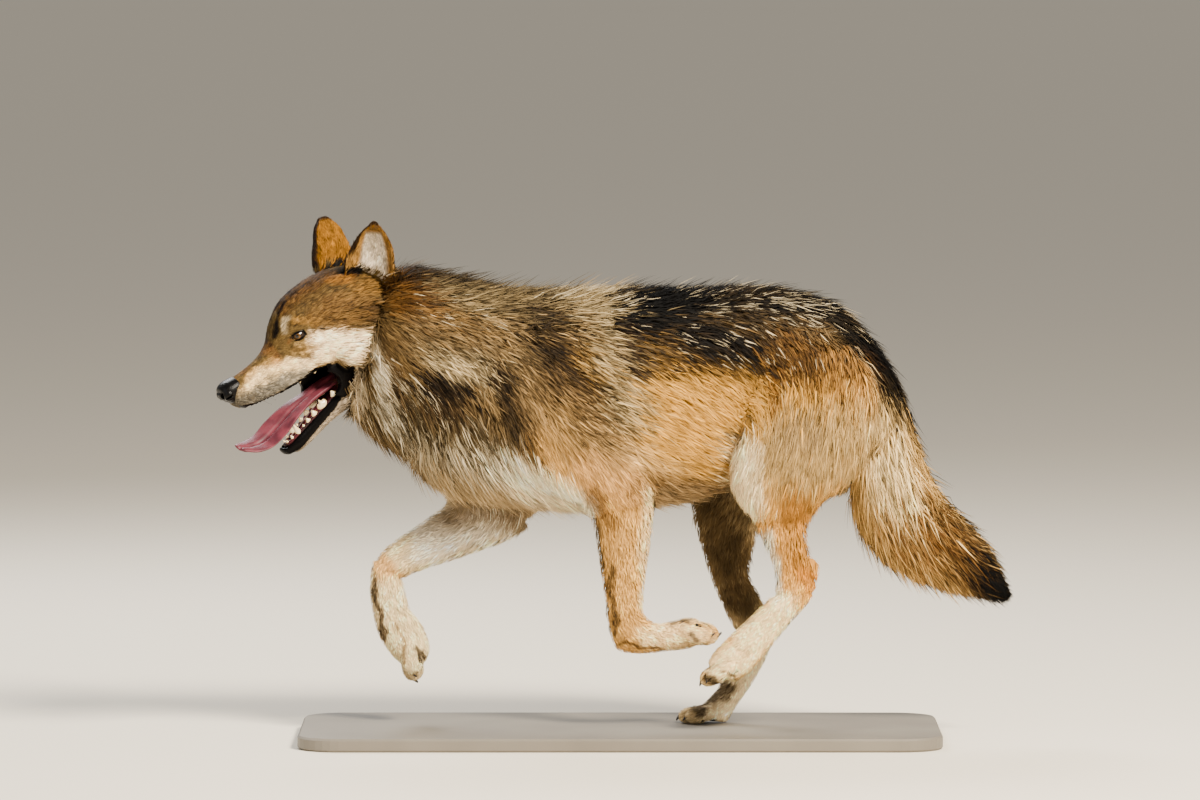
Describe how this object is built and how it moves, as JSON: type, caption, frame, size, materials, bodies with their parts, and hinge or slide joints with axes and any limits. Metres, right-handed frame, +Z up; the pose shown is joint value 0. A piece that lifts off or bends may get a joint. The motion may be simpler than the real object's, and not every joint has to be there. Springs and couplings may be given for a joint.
{
  "type": "mexican wolf, life-size museum model",
  "caption": "Still, life-size model of a slim grey, ochre and cream wolf in mid-stride, mouth open and tongue out, on a flat rectangular display base.",
  "frame": {"origin": "centre of the display base's underside", "axes": "+Z up; the wolf travels towards -X, so +X runs from nose to tail; its left side faces -Y"},
  "size_m": [1.1974, 0.4, 0.7828],
  "materials": {
    "body_fur": "dense grizzled guard hair over pale underfur, matt with a slight sheen along the hair",
    "leg_fur": "short flat hair, ochre and cream",
    "paw_fur": "short flat cream hair, dark pads",
    "ear_fur": "short ochre hair with dark rims",
    "eye": "glossy amber, round dark pupil",
    "nose_leather": "damp pebbled black",
    "teeth_enamel": "ivory enamel on dark pink gum",
    "tongue_skin": "moist pink with a centre groove",
    "claw_horn": "dark horn, lightly worn",
    "base_paint": "painted fine-grained board, satin"
  },
  "bodies": {
    "root": {"tongue": "tongue_skin", "lower_jaw": "body_fur", "lower_teeth": "teeth_enamel", "head": "body_fur", "nose": "nose_leather", "upper_teeth": "teeth_enamel", "eye_left": "eye", "ear_left": "ear_fur", "eye_right": "eye", "ear_right": "ear_fur", "stand_base": "base_paint", "trunk": "body_fur", "neck": "body_fur", "foreleg_left_upper": "leg_fur", "foreleg_left_lower": "leg_fur", "foreleg_left_paw": "paw_fur", "foreleg_left_claw_1": "claw_horn", "foreleg_left_claw_2": "claw_horn", "foreleg_left_claw_3": "claw_horn", "foreleg_left_claw_4": "claw_horn", "foreleg_right_upper": "leg_fur", "foreleg_right_lower": "leg_fur", "foreleg_right_paw": "paw_fur", "foreleg_right_claw_1": "claw_horn", "foreleg_right_claw_2": "claw_horn", "foreleg_right_claw_3": "claw_horn", "foreleg_right_claw_4": "claw_horn", "hindleg_left_upper": "leg_fur", "hindleg_left_lower": "leg_fur", "hindleg_left_paw": "paw_fur", "hindleg_left_claw_1": "claw_horn", "hindleg_left_claw_2": "claw_horn", "hindleg_left_claw_3": "claw_horn", "hindleg_left_claw_4": "claw_horn", "hindleg_right_upper": "leg_fur", "hindleg_right_lower": "leg_fur", "hindleg_right_paw": "paw_fur", "hindleg_right_claw_1": "claw_horn", "hindleg_right_claw_2": "claw_horn", "hindleg_right_claw_3": "claw_horn", "hindleg_right_claw_4": "claw_horn", "tail": "body_fur"}
  },
  "joints": []
}
